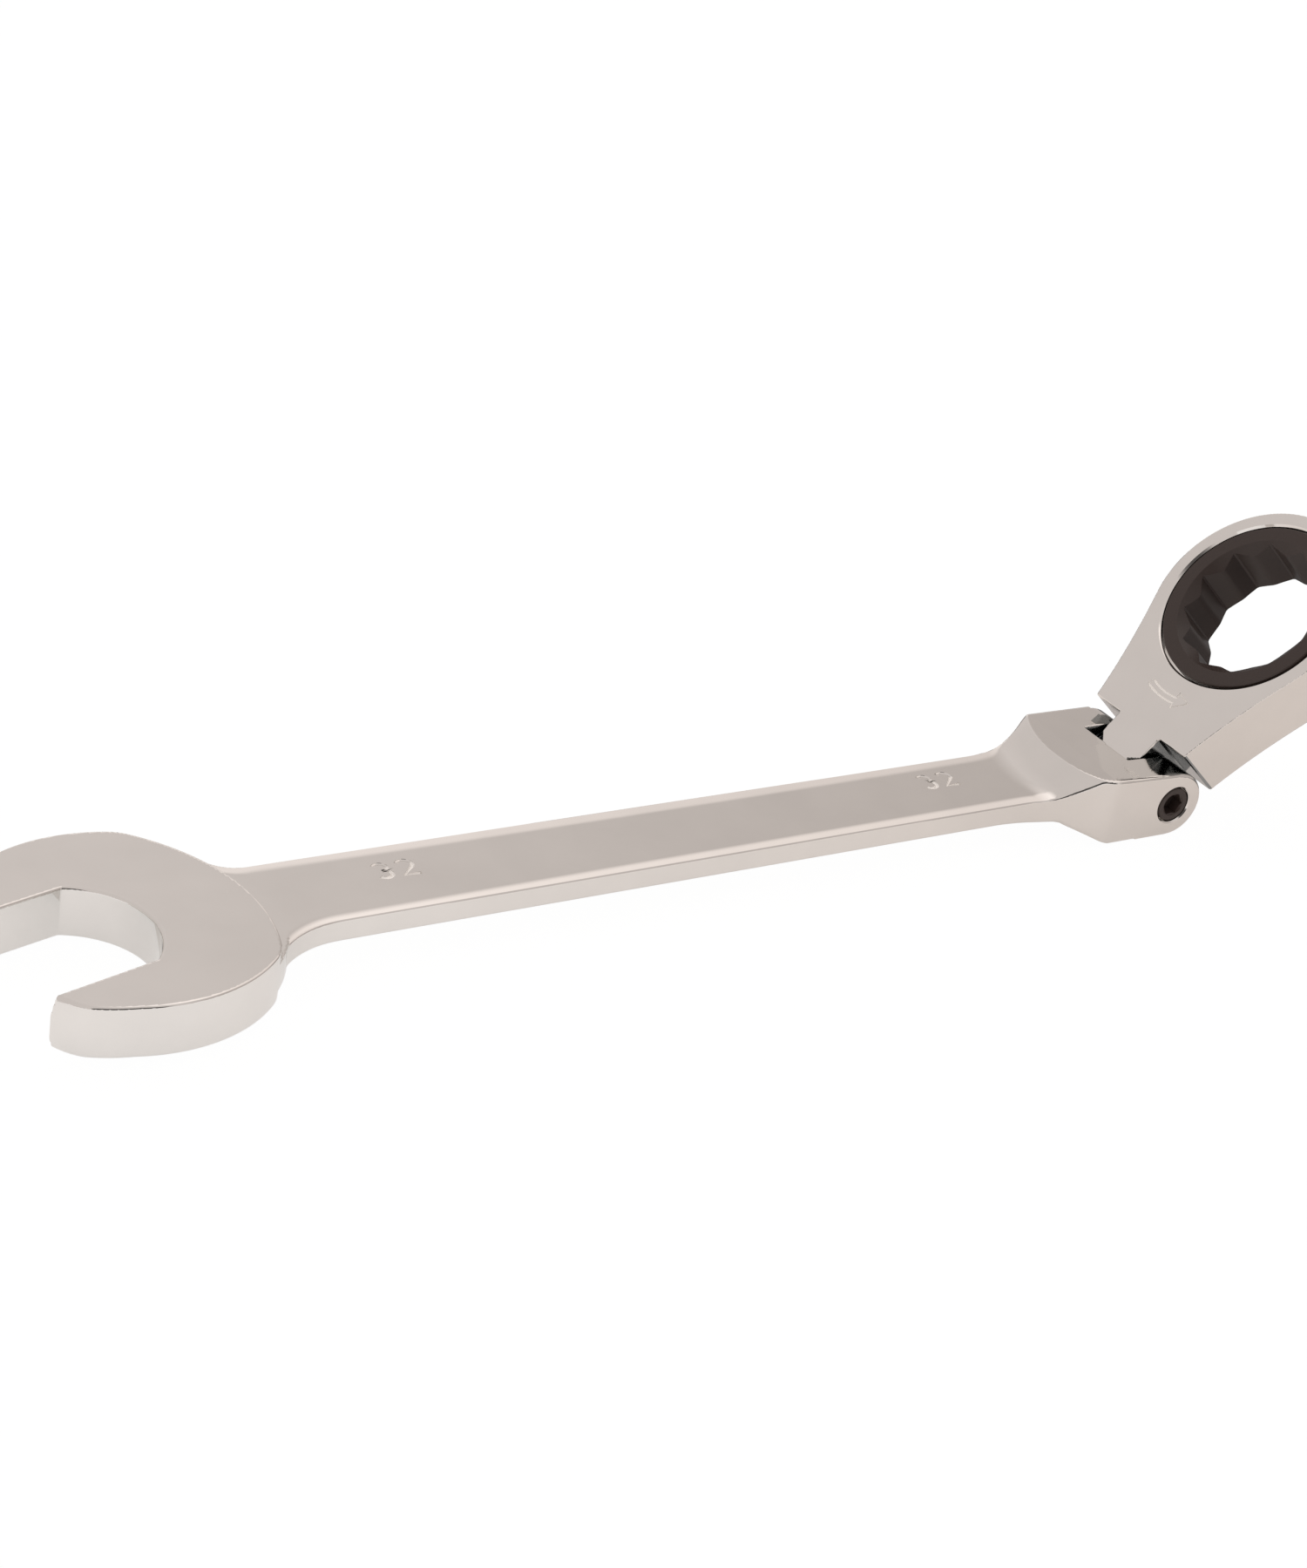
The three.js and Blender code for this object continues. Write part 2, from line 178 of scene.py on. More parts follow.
def bend(run, radius, reach):
    """Rise of a circular arc that starts level, then goes on straight past its reach."""
    near = np.clip(run, 0, reach)
    incline = reach / math.sqrt(radius ** 2 - reach ** 2)
    return radius - np.sqrt(radius ** 2 - near ** 2) + incline * np.maximum(run - reach, 0)


def bevelled(body, side, face, width, depth):
    """The body with a bevel between a side and a face: its width is across the face."""
    cut = (side * depth + face * width + width * depth) / np.hypot(width, depth)
    return both(body, cut, 0.35)


def jaw_form(x, y, z):
    """The open jaw: a thick plate with a stepped back edge, and a web as thick as the shank."""
    dx, dy = x - JAW_CENTRE[0], y - JAW_CENTRE[1]
    along = math.cos(JAW_TURN) * dx + math.sin(JAW_TURN) * dy
    aside = math.cos(JAW_TURN) * dy - math.sin(JAW_TURN) * dx
    bulge = 1 - ((z - BULGE_MIDDLE) / BULGE_HALF) ** 2
    round_body = np.hypot(along, aside) - JAW_RADIUS
    round_tips = (np.hypot(along - TIP_CENTRE, aside) - TIP_RADIUS
                  - SIDE_BULGE * bulge * ease(along, 15, TIP_END - 0.5))
    outline = both(np.minimum(round_body, round_tips), along - TIP_END - END_BULGE * bulge,
                   TIP_CORNER)
    throat_side = np.abs(aside - THROAT_OFFSET) - ACROSS_FLATS / 2
    throat_end = np.minimum(
        THROAT_CENTRE - along,
        np.hypot(along - THROAT_CENTRE, aside - THROAT_OFFSET) - THROAT_RADIUS)
    outline = both(outline, -np.maximum(throat_side, throat_end), 0.3)
    plate = both(outline, np.hypot(x - STEP_CENTRE[0], y - STEP_CENTRE[1]) - STEP_RADIUS, 1.0)
    plate = both(both(plate, z - JAW_TOP, 0.55), -JAW_TOP - z, 1.0)
    web = both(outline, np.maximum(z - SHANK_TOP, SHANK_BOTTOM - z), 0.4)
    return plate, np.maximum(np.maximum(web, y - WEB_SIDE), WEB_START - x)


def shank_side(x, y):
    """Distance outside the shank's two sides, with their fillets to the jaw and the clevis."""
    far = y > 0
    share = np.clip((x - TAPER_START) / (TAPER_END - TAPER_START), 0, 1)
    width = SHANK_HALF - SHANK_TAPER * share + FAR_EXTRA * far
    flare = np.minimum(width + bend(x - FLARE_START, FLARE_RADIUS, FLARE_REACH), FLARE_LIMIT)
    width = lower(flare, EAR_SIDE + 0.15 * far, 1.0)
    near_fillet = np.minimum(bend(NEAR_FILLET - x, 22, 17.6), 8.8)
    far_fillet = np.minimum(bend(FAR_FILLET - x, 9, 7.4), 3.9)
    return np.abs(y) - width - np.where(far, far_fillet, near_fillet)


def clevis_top(x, y):
    """Height of the top: level shank, hollow ramp, curved crest and the ears' slight fall."""
    run = x - CREST_CENTRE[0] + np.sqrt(
        CREST_RADIUS ** 2 - np.minimum((y - CREST_CENTRE[1]) ** 2, 600.0))
    run = run - CREST_SAG * np.maximum(SAG_START - y, 0) ** 2
    ramp = lower(SHANK_TOP + bend(run + RAMP_LENGTH, RAMP_RADIUS, RAMP_REACH), EAR_TOP, 0.5)
    return ramp - np.where(y > 0, FAR_FALL, NEAR_FALL) * np.maximum(x - FALL_START, 0)


def shank_form(x, y, z):
    """The bevelled shank, with the ramp up to the clevis and its slotted, rounded ears."""
    side = shank_side(x, y)
    keel = np.maximum(SHANK_BOTTOM - KEEL_SLOPE * np.maximum(x - KEEL_START, 0), -EAR_RADIUS)
    bottom = np.where(x < -10, -lower(-keel, EAR_RADIUS, 1.2), -EAR_RADIUS)
    upper = np.where(x > 0, np.hypot(np.maximum(x, 0), z) - EAR_RADIUS, z - clevis_top(x, y))
    under = np.where(x > 0, upper, bottom - z)
    body = both(side, np.maximum(upper, under), 0.3)

    clevis = ease(x, -33, -29)
    halved = 1 - 0.5 * ease(x, -50, -34)
    far_or_near = [np.where(y > 0, *pair) for pair in zip(FAR_BEVEL, NEAR_BEVEL)]
    for face, bevel in ((upper, far_or_near), (under, [size * halved for size in UNDER_BEVEL])):
        width, depth = [size + (CLEVIS_BEVEL - size) * clevis for size in bevel]
        body = bevelled(body, side, face, width, depth)

    slot = np.maximum(np.abs(y) - SLOT_HALF, SLOT_END - x)
    return np.maximum(both(body, -slot, 0.4), SHANK_START - x)


def handle_form(x, y, z):
    plate, web = jaw_form(x, y, z)
    return np.minimum(either(plate, shank_form(x, y, z), 0.5), web)


def neck_width(u):
    """Half the neck's width: a quadratic curve from the shoulder to the ring."""
    start_u, start_v = SHOULDER
    first_u, first_v = 2 * (NECK_CONTROL[0] - start_u), 2 * (NECK_CONTROL[1] - start_v)
    second_u = RING_JOIN[0] - 2 * NECK_CONTROL[0] + start_u
    second_v = RING_JOIN[1] - 2 * NECK_CONTROL[1] + start_v
    root = np.sqrt(first_u ** 2 + 4 * second_u * np.maximum(u - start_u, 0))
    share = (root - first_u) / (2 * second_u)
    return start_v + first_v * share + second_v * share ** 2


def head_form(u, v, h):
    """The ratchet head: ring, hollow-sided neck, shoulders and the tongue round the pivot."""
    flank = 0.94 * (np.abs(v) - neck_width(u))
    outline = np.where(u < RING_JOIN[0], flank, np.hypot(u - RING_CENTRE, v) - RING_RADIUS)
    outline = both(outline, SHOULDER[0] - u, 0.3)
    tongue = np.maximum(np.abs(v) - TONGUE_HALF, u - 20)
    outline = either(outline, tongue, 0.3)
    reach = np.where(u < 0, np.hypot(np.minimum(u, 0), h), np.abs(h))
    body = both(outline, reach - HEAD_HALF, 0.4)
    steep = np.where(v < 0, 1.6, 0.96)
    corner = np.minimum(reach, HEAD_HALF) - CORNER_START
    corner = corner - np.maximum(u - 0.9, 0) - 20 * np.maximum(u - 4, 0)
    return both(body, (np.abs(v) - TONGUE_HALF + steep * corner) / np.hypot(steep, 1), 0.2)


# ---- meshing ------------------------------------------------------------------------------

def slope(form, points):
    """Gradient of a form at each point."""
    step = 0.01
    columns = []
    for axis in range(3):
        shift = np.zeros(3)
        shift[axis] = step
        ahead = form(*(points + shift).T)
        behind = form(*(points - shift).T)
        columns.append((ahead - behind) / (2 * step))
    return np.stack(columns, axis=1)


def crossings_of(value, grid):
    """For each axis: the grid edges that the surface crosses, where, and from which side."""
    found = []
    for axis in range(3):
        first = np.moveaxis(value, axis, 0)[:-1]
        second = np.moveaxis(value, axis, 0)[1:]
        crossed = (first < 0) != (second < 0)
        share = np.where(crossed, first / np.where(crossed, first - second, 1), 0)
        others = [other for other in range(3) if other != axis]
        edge = np.zeros(crossed.shape + (3,))
        start = grid[axis][:-1, None, None]
        edge[..., axis] = start + share * (grid[axis][1:, None, None] - start)
        edge[..., others[0]] = grid[others[0]][None, :, None]
        edge[..., others[1]] = grid[others[1]][None, None, :]
        found.append((axis, others, crossed, edge * crossed[..., None], first < 0))
    return found


def net(form, grid):
    """A quad mesh of the form's surface: one vertex for each grid cell that the surface crosses."""
    value = form(grid[0][:, None, None], grid[1][None, :, None], grid[2][None, None, :])
    cells = tuple(size - 1 for size in value.shape)
    total = np.zeros(cells + (3,))
    count = np.zeros(cells)
    crossings = crossings_of(value, grid)
    for axis, others, crossed, edge, _ in crossings:
        for one in (0, 1):
            for two in (0, 1):
                part = (slice(None), slice(one, one + cells[others[0]]),
                        slice(two, two + cells[others[1]]))
                total += np.moveaxis(edge[part], 0, axis)
                count += np.moveaxis(crossed[part].astype(float), 0, axis)
    used = count > 0
    number = np.full(cells, -1)
    number[used] = np.arange(used.sum())
    points = total[used] / count[used][:, None]

    faces = []
    for axis, others, crossed, _, inside in crossings:
        index = np.argwhere(crossed)
        sizes = [cells[others[0]], cells[others[1]]]
        inner = ((index[:, 1] > 0) & (index[:, 1] < sizes[0])
                 & (index[:, 2] > 0) & (index[:, 2] < sizes[1]))
        index = index[inner]
        corners = []
        for one, two in ((1, 1), (0, 1), (0, 0), (1, 0)):
            cell = np.empty((len(index), 3), int)
            cell[:, axis] = index[:, 0]
            cell[:, others[0]] = index[:, 1] - one
            cell[:, others[1]] = index[:, 2] - two
            corners.append(number[tuple(cell.T)])
        quads = np.stack(corners, axis=1)
        outward = inside[tuple(index.T)]
        flip = outward if axis == 1 else ~outward
        quads[flip] = quads[flip][:, ::-1]
        faces.append(quads)
    return settled(form, points), np.concatenate(faces)


def settled(form, points):
    """The points after a few steps along the gradient, onto the form's surface."""
    for _ in range(4):
        gradient = slope(form, points)
        length = np.maximum((gradient ** 2).sum(axis=1), 0.2)
        step = form(*points.T)[:, None] * gradient / length[:, None]
        points = points - np.clip(step, -0.25, 0.25)
    return points


def spaced(*stretches):
    """Grid lines from stretches of (start, end, spacing)."""
    parts = [np.arange(start, end, spacing) for start, end, spacing in stretches]
    return np.concatenate(parts + [[stretches[-1][1]]])


def linked(name, mesh):
    """A new object in the scene, holding the mesh."""
    piece = bpy.data.objects.new(name, mesh)
    bpy.context.scene.collection.objects.link(piece)
    return piece


def mesh_object(name, points, faces):
    mesh = bpy.data.meshes.new(name)
    mesh.from_pydata([tuple(point) for point in points], [], [tuple(face) for face in faces])
    return linked(name, mesh)


def turned(name, profile, around="Z", sides=192):
    """A closed body of revolution. Its profile of (radius, height) starts and ends on the axis."""
    angles = np.linspace(0, 2 * math.pi, sides, endpoint=False)
    inner = profile[1:-1]
    points = [(0, 0, profile[0][1]), (0, 0, profile[-1][1])]
    for radius, height in inner:
        points += [(radius * math.cos(a), radius * math.sin(a), height) for a in angles]
    faces = []
    for side in range(sides):
        after = (side + 1) % sides
        faces.append((0, 2 + after, 2 + side))
        last = 2 + (len(inner) - 1) * sides
        faces.append((1, last + side, last + after))
        for row in range(len(inner) - 1):
            base = 2 + row * sides
            faces.append((base + side, base + after, base + sides + after, base + sides + side))
    if around == "Y":
        points = [(x, z, -y) for x, y, z in points]
    return mesh_object(name, points, faces)


def raised(name, outline, low, high):
    """A plan outline raised from one height to another."""
    count = len(outline)
    points = [(x, y, low) for x, y in outline] + [(x, y, high) for x, y in outline]
    faces = [tuple(reversed(range(count))), tuple(range(count, 2 * count))]
    faces += [(i, (i + 1) % count, count + (i + 1) % count, count + i) for i in range(count)]
    return mesh_object(name, points, faces)


def rod(name, path, radius, closed=False):
    """A round rod along a path of (x, y, z) points."""
    curve = bpy.data.curves.new(name, "CURVE")
    curve.dimensions = "3D"
    curve.bevel_depth = radius
    curve.bevel_resolution = 3
    curve.use_fill_caps = True
    line = curve.splines.new("POLY")
    line.points.add(len(path) - 1)
    for point, position in zip(line.points, path):
        point.co = (*position, 1)
    line.use_cyclic_u = closed
    carrier = linked(name, curve)
    graph = bpy.context.evaluated_depsgraph_get()
    mesh = bpy.data.meshes.new_from_object(carrier.evaluated_get(graph))
    bpy.data.objects.remove(carrier)
    shell = bmesh.new()
    shell.from_mesh(mesh)
    bmesh.ops.remove_doubles(shell, verts=shell.verts, dist=1e-4)
    bmesh.ops.recalc_face_normals(shell, faces=shell.faces)
    shell.to_mesh(mesh)
    shell.free()
    return linked(name, mesh)


def combine(piece, tools, operation="DIFFERENCE"):
    """Cuts the tools from the piece or adds them, and removes them."""
    for tool in tools:
        change = piece.modifiers.new("change", "BOOLEAN")
        change.operation = operation
        change.solver = "MANIFOLD"
        change.object = tool
        graph = bpy.context.evaluated_depsgraph_get()
        mesh = bpy.data.meshes.new_from_object(piece.evaluated_get(graph))
        piece.modifiers.clear()
        piece.data = mesh
        bpy.data.objects.remove(tool)


def read_rows(items, attribute):
    """A mesh's vectors as an array with one row for each item."""
    values = np.zeros(len(items) * 3)
    items.foreach_get(attribute, values)
    return values.reshape(-1, 3)


def read_numbers(items, attribute):
    values = np.zeros(len(items), int)
    items.foreach_get(attribute, values)
    return values


def smooth(piece, form=None, angle=30):
    """Smooth shading up to an angle. Faces that lie on a form take their normals from it."""
    mesh = piece.data
    mesh.shade_smooth()
    mesh.set_sharp_from_angle(angle=math.radians(angle))
    if form is None:
        return
    normals = read_rows(mesh.corner_normals, "vector")
    points = read_rows(mesh.vertices, "co")
    ideal = slope(form, points)
    ideal /= np.maximum(np.linalg.norm(ideal, axis=1), 1e-9)[:, None]
    off = np.abs(form(*points.T))
    vertex = read_numbers(mesh.loops, "vertex_index")
    facing = np.repeat(read_rows(mesh.polygons, "normal"),
                       read_numbers(mesh.polygons, "loop_total"), axis=0)
    follows = ((ideal[vertex] * facing).sum(axis=1) > 0.85) & (off[vertex] < 0.02)
    normals[follows] = ideal[vertex][follows]
    mesh.normals_split_custom_set([tuple(normal) for normal in normals])


def place(piece, body, matrix, node):
    """Puts a finished piece into the row frame, on its body, in place of its CAD node."""
    piece.data.transform(matrix)
    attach(piece, body)
    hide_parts(node)


def finish(piece, material):
    piece.data.materials.clear()
    piece.data.materials.append(material)


def refinish(piece, material, chosen):
    """Gives the faces that are chosen by their centre and normal another material."""
    piece.data.materials.append(material)
    index = len(piece.data.materials) - 1
    for face in piece.data.polygons:
        if chosen(face.center, face.normal):
            face.material_index = index


def arc(centre, radius, start, end, steps):
    angles = np.radians(np.linspace(start, end, steps))
    return [(centre[0] + radius * math.cos(a), centre[1] + radius * math.sin(a)) for a in angles]


def at_height(outline, height):
    return [(x, y, height) for x, y in outline]


# ---- materials ----------------------------------------------------------------------------

def metal(name, color, roughness, metallic, grain, bump=0.0, spread=0.04, specular=0.5):
    """A metal whose roughness and tone drift a little across the surface."""
    material = bpy.data.materials.new(name)
    material.use_nodes = True
    nodes, links = material.node_tree.nodes, material.node_tree.links
    shader = nodes["Principled BSDF"]
    shader.inputs["Metallic"].default_value = metallic
    shader.inputs["Specular IOR Level"].default_value = specular
    where = nodes.new("ShaderNodeTexCoord")
    noise = nodes.new("ShaderNodeTexNoise")
    noise.inputs["Scale"].default_value = grain
    noise.inputs["Detail"].default_value = 6
    links.new(where.outputs["Object"], noise.inputs["Vector"])
    rough = nodes.new("ShaderNodeMapRange")
    rough.inputs["To Min"].default_value = max(roughness - spread, 0.02)
    rough.inputs["To Max"].default_value = roughness + spread
    links.new(noise.outputs["Fac"], rough.inputs["Value"])
    links.new(rough.outputs["Result"], shader.inputs["Roughness"])
    tone = nodes.new("ShaderNodeMix")
    tone.data_type = "RGBA"
    tone.inputs["A"].default_value = (*[0.94 * part for part in color], 1)
    tone.inputs["B"].default_value = (*[min(1.06 * part, 1) for part in color], 1)
    links.new(noise.outputs["Fac"], tone.inputs["Factor"])
    links.new(tone.outputs["Result"], shader.inputs["Base Color"])
    if bump:
        relief = nodes.new("ShaderNodeBump")
        relief.inputs["Strength"].default_value = bump
        relief.inputs["Distance"].default_value = 0.0002
        links.new(noise.outputs["Fac"], relief.inputs["Height"])
        links.new(relief.outputs["Normal"], shader.inputs["Normal"])
    return material


chrome = metal("polished_chrome", (0.735, 0.715, 0.69), 0.06, 1.0, 60, spread=0.02)
frosted = metal("stamped_chrome", (0.95, 0.93, 0.90), 0.42, 1.0, 400)
# Darker chrome: painted shade for the clevis slot's faces and the head's shoulders, where the parts
# shade each other.
joint_painted_shade = metal("joint_painted_shade_chrome", (0.30, 0.315, 0.32), 0.16, 1.0, 90)
oxide = metal("black_oxide", (0.044, 0.031, 0.027), 0.30, 0.0, 900, bump=0.12, specular=0.32)
tool_steel = metal("hardened_steel", (0.20, 0.17, 0.16), 0.38, 0.9, 500, bump=0.1)
spring_steel = metal("spring_steel", (0.22, 0.23, 0.24), 0.28, 1.0, 700, bump=0.05)


# ---- handle -------------------------------------------------------------------------------

def size_stamps():
    """Rods that press the size, 32, into the shank's top at both of its ends."""
    strokes = []
    for three, y in STAMP_PLACES:
        two = three + DIGIT_PITCH
        strokes.append(arc((three + 1.8, y + 4.35), 1.55, 150, -80, 14)
                       + arc((three + 1.8, y + 1.65), 1.65, 80, -150, 14)[1:])
        strokes.append(arc((two + 1.9, y + 4.2), 1.75, 155, -38, 14)
                       + [(two, y), (two + DIGIT_WIDTH, y)])
    return [rod("digit", at_height(stroke, SHANK_TOP + 0.25), 0.6) for stroke in strokes]


def in_size_stamp(centre, normal):
    below = 3.0 < centre.z < SHANK_TOP - STAMP_DEPTH
    return below and abs(centre.y) < 4.5 and -210 < centre.x < -48 and normal.z > 0.2


# Faces inside the clevis slot that take the painted shade.
def clevis_slot_painted_shade(centre, normal):
    return abs(centre.y) < SLOT_HALF + 0.1 and centre.x > SLOT_END - 0.3


def make_handle():
    handle = mesh_object("handle_forging", *net(handle_form, (
        spaced((-303.0, -225, 0.5), (-225, -45, 1.5), (-45, 10, 0.5)),
        spaced((-37.0, 36.5, 0.5)),
        spaced((-9.4, 10.6, 0.4)))))
    pin_bore = turned("pin_bore", [
        (0, -20), (5.2, -20), (5.2, -18.6), (4.75, -18.15), (4.75, -13.6), (PIN_BORE, -13.6),
        (PIN_BORE, 13.6), (4.9, 13.6), (4.9, 18.0), (5.5, 18.5), (5.5, 20), (0, 20)], "Y", 96)
    combine(handle, [pin_bore] + size_stamps())
    smooth(handle, handle_form)
    finish(handle, chrome)
    refinish(handle, frosted, in_size_stamp)
    refinish(handle, joint_painted_shade, clevis_slot_painted_shade)
    place(handle, "handle_body", HANDLE_FRAME, "handle")


# ---- ratchet head -------------------------------------------------------------------------

def arrow_rod():
    """The curved arrow that shows which way the gear drives, as a closed outline."""
    centre = (37.9, 0.6)
    outline = (arc(centre, 19.3, 160.5, 190.5, 12)
               + [(17.6, -3.5), (20.9, -6.8), (22.0, -2.8)]
               + arc(centre, 17.7, 191.5, 160.5, 12))
    return rod("arrow", at_height(outline, HEAD_HALF + 0.05), 0.29, closed=True)


# Faces on the head's shoulders, beside the tongue, that take the painted shade.
def shoulder_painted_shade(centre, normal):
    steep = abs(normal.z) < 0.5 and abs(centre.z) < 8
    return steep and centre.x < SHOULDER[0] + 0.6 and abs(centre.y) > TONGUE_HALF - 0.3


def in_arrow(centre, normal):
    below = 7.5 < centre.z < HEAD_HALF - STAMP_DEPTH
    return below and 15 < centre.x < 24 and abs(centre.y) < 9 and normal.z > 0.2


def make_head():
    head = mesh_object("head_forging", *net(head_form, (
        spaced((-9.4, 79.0, 0.5)), spaced((-28.6, 28.6, 0.5)), spaced((-9.1, 9.1, 0.35)))))
    seat = turned("seat", [
        (0, -9), (24.1, -9), (24.1, -8.6), (23.5, -7.9), (23.2, -7.9), (23.2, -6.1),
        (20.9, -6.1), (20.9, -4.5), (SEAT_RADIUS, -4.5), (SEAT_RADIUS, 6.1), (23.85, 6.1),
        (23.85, 7.85), (24.6, 8.6), (24.6, 9), (0, 9)])
    seat.data.transform(Matrix.Translation((RING_CENTRE, 0, 0)))
    tongue_bore = turned("tongue_bore", [(0, -9), (PIN_BORE, -9), (PIN_BORE, 9), (0, 9)], "Y", 64)
    pocket = raised("pocket", [(17.4, -6.9), (30, -6.9), (30, 6.9), (17.4, 6.9)], -3.9, 4.5)
    combine(head, [seat, tongue_bore, pocket, arrow_rod()])
    smooth(head, head_form)
    finish(head, chrome)
    refinish(head, joint_painted_shade, shoulder_painted_shade)
    refinish(head, frosted, in_arrow)
    place(head, "head_body", HEAD_FRAME, "ratchet_head")


# ---- drive gear and retaining ring --------------------------------------------------------

def ring_outline(count, corners):
    """An outline of count equal parts, each with corners of (share of a part, radius)."""
    outline = []
    for part in range(count):
        for share, radius in corners:
            angle = (part + share) * 2 * math.pi / count
            outline.append((radius * math.cos(angle), radius * math.sin(angle)))
    return outline


def star():
    """The bore's twelve narrow flat tips, with a rounded land between each pair."""
    tip = ACROSS_FLATS / 2 / math.cos(math.pi / 6)
    return ring_outline(12, ((-0.5, 16.84), (-0.43, 16.93), (-0.36, 17.14), (-0.03, tip),
                             (0.03, tip), (0.36, 17.14), (0.43, 16.93)))


def make_gear():
    gear = turned("drive_gear_detailed", [
        (0, -HEAD_HALF), (20.2, -HEAD_HALF), (BOSS_RADIUS, -7.95), (BOSS_RADIUS, GROOVE_BOTTOM),
        (GROOVE_RADIUS, GROOVE_BOTTOM), (GROOVE_RADIUS, GROOVE_TOP), (BOSS_RADIUS, GROOVE_TOP),
        (BOSS_RADIUS, -4.0), (21.5, -4.0), (21.5, FLANGE_UNDER), (FLANGE_RADIUS, FLANGE_UNDER),
        (FLANGE_RADIUS, 8.1), (23.05, HEAD_HALF), (0, HEAD_HALF)])
    tooth = ((-0.5, TOOTH_ROOT), (-0.1, TOOTH_TIP), (0.1, TOOTH_TIP))
    combine(gear, [raised("teeth", ring_outline(TOOTH_COUNT, tooth), -4.2, 6.6)], "UNION")
    lead_in = turned("lead_in", [
        (0, 5.4), (16.4, 5.4), (16.4, 5.5), (19.5, 8.4), (19.5, 9), (0, 9)])
    lead_out = turned("lead_out", [(0, -9), (19.0, -9), (19.0, -8.4), (16.4, -7), (0, -7)])
    combine(gear, [raised("star", star(), -10, 10), lead_in, lead_out])
    smooth(gear, angle=25)
    finish(gear, oxide)
    place(gear, "gear_body", RING_FRAME, "drive_gear")


def make_retaining_ring():
    edge = CLIP_RADIUS - 0.15
    clip = turned("retaining_ring_detailed", [
        (0, -7.6), (edge, -7.6), (CLIP_RADIUS, -7.45), (CLIP_RADIUS, -6.85), (edge, -6.7),
        (0, -6.7)])
    bore = turned("clip_bore", [(0, -8), (CLIP_BORE, -8), (CLIP_BORE, -6), (0, -6)])
    gap = raised("clip_gap", [
        (15, -CLIP_OPENING), (30, -CLIP_OPENING), (30, CLIP_OPENING), (15, CLIP_OPENING)], -9, -5)
    combine(clip, [bore, gap])
    smooth(clip)
    finish(clip, spring_steel)
    place(clip, "gear_body", RING_FRAME, "retaining_ring")


# ---- pivot screw and nut ------------------------------------------------------------------

def make_screw():
    screw = turned("pivot_screw_detailed", [
        (0, -SCREW_FACE), (4.2, -SCREW_FACE), (SCREW_HEAD, -18.05), (SCREW_HEAD, -SCREW_SEAT),
        (SCREW_SHAFT, -SCREW_SEAT), (SCREW_SHAFT, 15.8), (3.0, SHAFT_END), (0, SHAFT_END)],
        "Y", 96)
    hexagon = ring_outline(6, ((0, SOCKET_RADIUS),))
    socket = raised("socket", hexagon, 15.1, 19)
    socket.data.transform(Matrix.Rotation(math.radians(90), 4, "X"))
    mouth = turned("mouth", [
        (0, -19), (3.1, -19), (3.1, -18.35), (2.6, -17.9), (0, -17.9)], "Y", 64)
    combine(screw, [socket, mouth])
    smooth(screw)
    finish(screw, oxide)
    place(screw, "handle_body", HANDLE_FRAME, "pivot_screw")


def make_nut():
    """A flanged sleeve over the screw's end, with a shallow dimple in its face."""
    nut = turned("pivot_nut_detailed", [
        (0, 16.3), (PIN_BORE, 16.3), (PIN_BORE, SCREW_SEAT), (SCREW_HEAD, SCREW_SEAT),
        (SCREW_HEAD, 18.05), (4.2, SCREW_FACE), (1.3, SCREW_FACE), (1.0, 18.0), (0, 18.0)],
        "Y", 96)
    smooth(nut)
    finish(nut, oxide)
    place(nut, "handle_body", HANDLE_FRAME, "pivot_nut")


# ---- pawl spring and the nodes that keep their CAD shape ----------------------------------

def make_spring():
    steps = SPRING_TURNS * 28
    coil = []
    for step in range(steps + 1):
        share = step / steps
        angle = share * SPRING_TURNS * 2 * math.pi
        coil.append((SPRING_START + SPRING_LENGTH * share,
                     SPRING_RADIUS * math.cos(angle),
                     SPRING_RADIUS * math.sin(angle) + SPRING_HEIGHT))
    spring = rod("pawl_spring_detailed", coil, SPRING_WIRE)
    smooth(spring)
    finish(spring, spring_steel)
    place(spring, "head_body", HEAD_FRAME, "pawl_spring")
    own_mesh(spring)


make_handle()
make_head()
make_gear()
make_retaining_ring()
make_screw()
make_nut()
make_spring()
for kept, steel in (("friction_washer_near", spring_steel), ("friction_washer_far", spring_steel),
                    ("pawl", tool_steel)):
    finish(frame["nodes"][kept], steel)


# ---- studio -------------------------------------------------------------------------------

def ramp_of(nodes, links, value, stops):
    """A colour ramp along a value. Its stops are (position, level, colour)."""
    ramp = nodes.new("ShaderNodeValToRGB")
    links.new(value, ramp.inputs["Fac"])
    elements = ramp.color_ramp.elements
    while len(elements) < len(stops):
        elements.new(0.5)
    for element, (position, level, color) in zip(elements, stops):
        element.position = position
        element.color = (*[level * part for part in color], 1)
    return ramp.outputs["Color"]


def seen_or_mirrored(nodes, links, seen, mirrored, output):
    """Sends one shader to the camera's own rays and another to all the rest."""
    choice = nodes.new("ShaderNodeMixShader")
    links.new(nodes.new("ShaderNodeLightPath").outputs["Is Camera Ray"], choice.inputs["Fac"])
    links.new(mirrored, choice.inputs[1])
    links.new(seen, choice.inputs[2])
    links.new(choice.outputs["Shader"], nodes[output].inputs["Surface"])


def glowing(nodes, links):
    """A diffuse surface that also gives light: its colour inputs and its output."""
    matte = nodes.new("ShaderNodeBsdfDiffuse")
    light = nodes.new("ShaderNodeEmission")
    total = nodes.new("ShaderNodeAddShader")
    links.new(matte.outputs["BSDF"], total.inputs[0])
    links.new(light.outputs["Emission"], total.inputs[1])
    return matte.inputs["Color"], light.inputs["Color"], total.outputs["Shader"]


